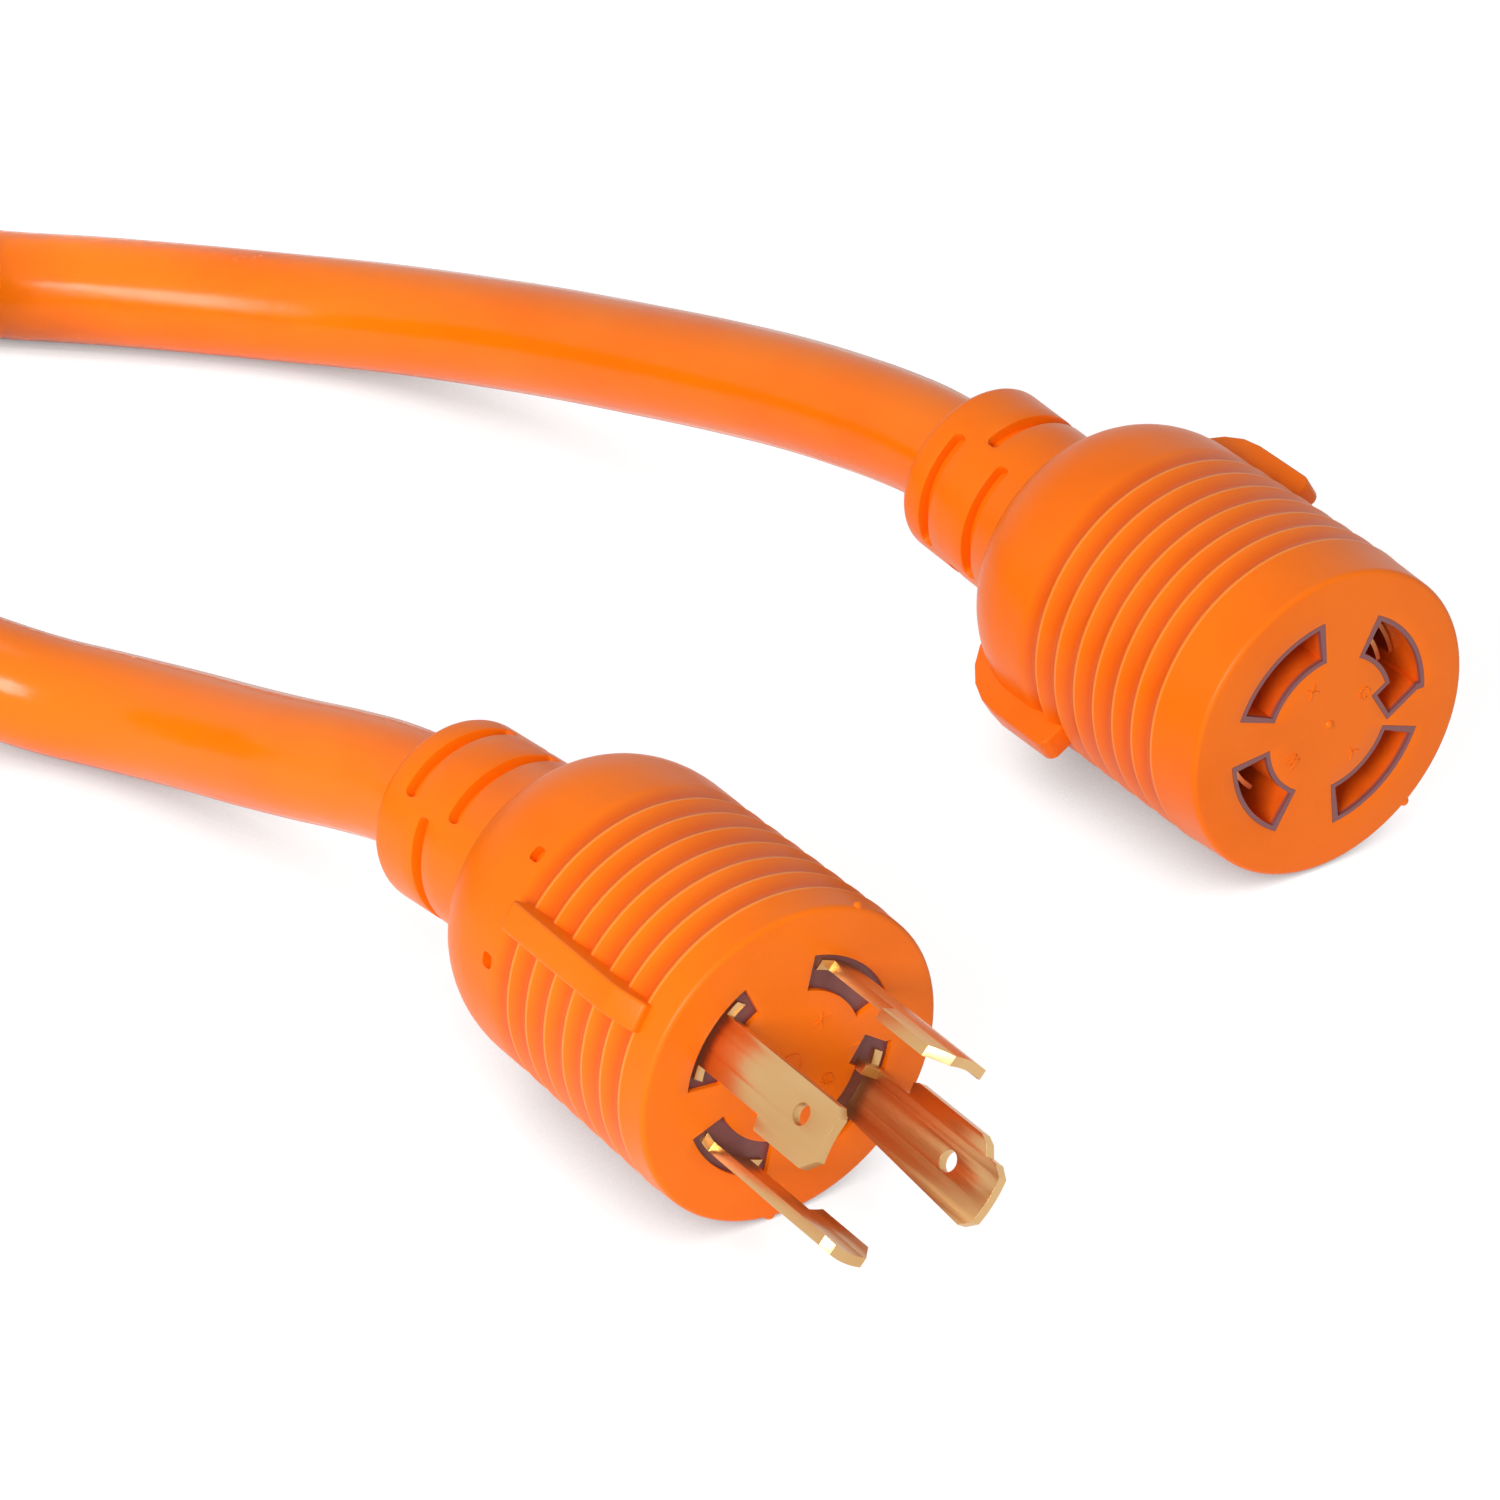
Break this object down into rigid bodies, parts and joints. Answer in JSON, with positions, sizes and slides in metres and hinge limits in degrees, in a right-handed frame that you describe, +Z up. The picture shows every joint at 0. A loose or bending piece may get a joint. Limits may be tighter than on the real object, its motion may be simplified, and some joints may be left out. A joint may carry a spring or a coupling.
{
  "type": "power cord",
  "caption": "Orange shore power cord with a moulded locking plug, a moulded locking connector and thick jacketed cable, the spare length coiled and strapped.",
  "frame": {"origin": "on the ground, at the middle of the footprint of everything but the cable and its straps", "axes": "+X out of both faces, the way the plug's blades point; +Y across, from the plug to the connector; +Z up from the ground"},
  "size_m": [0.4353, 0.338, 0.0561],
  "materials": {
    "orange_pvc": "satin moulded orange vinyl",
    "cable_jacket": "satin extruded orange vinyl",
    "core_plastic": "matte purple-brown nylon",
    "brass": "bright stamped brass",
    "copper": "bare stranded copper",
    "insulation_red": "smooth",
    "insulation_black": "smooth",
    "insulation_white": "smooth",
    "insulation_green": "smooth",
    "strap_fabric": "woven hook-and-loop strap"
  },
  "bodies": {
    "root": {"plug_body": "orange_pvc", "plug_core": "core_plastic", "plug_blade_x": "brass", "plug_blade_y": "brass", "plug_blade_w": "brass", "plug_blade_g": "brass", "plug_wire_red": "insulation_red", "plug_wire_black": "insulation_black", "plug_wire_white": "insulation_white", "plug_wire_green": "insulation_green", "plug_conductors": "copper", "connector_body": "orange_pvc", "connector_core": "core_plastic", "connector_core_cap": "core_plastic", "connector_contact_x": "brass", "connector_contact_y": "brass", "connector_contact_w": "brass", "connector_contact_g": "brass", "connector_wire_red": "insulation_red", "connector_wire_black": "insulation_black", "connector_wire_white": "insulation_white", "connector_wire_green": "insulation_green", "connector_conductors": "copper", "cord_lead_plug": "cable_jacket", "cord_coil": "cable_jacket", "cord_lead_connector": "cable_jacket", "coil_tie_front": "strap_fabric", "coil_tie_rear": "strap_fabric"}
  },
  "joints": []
}
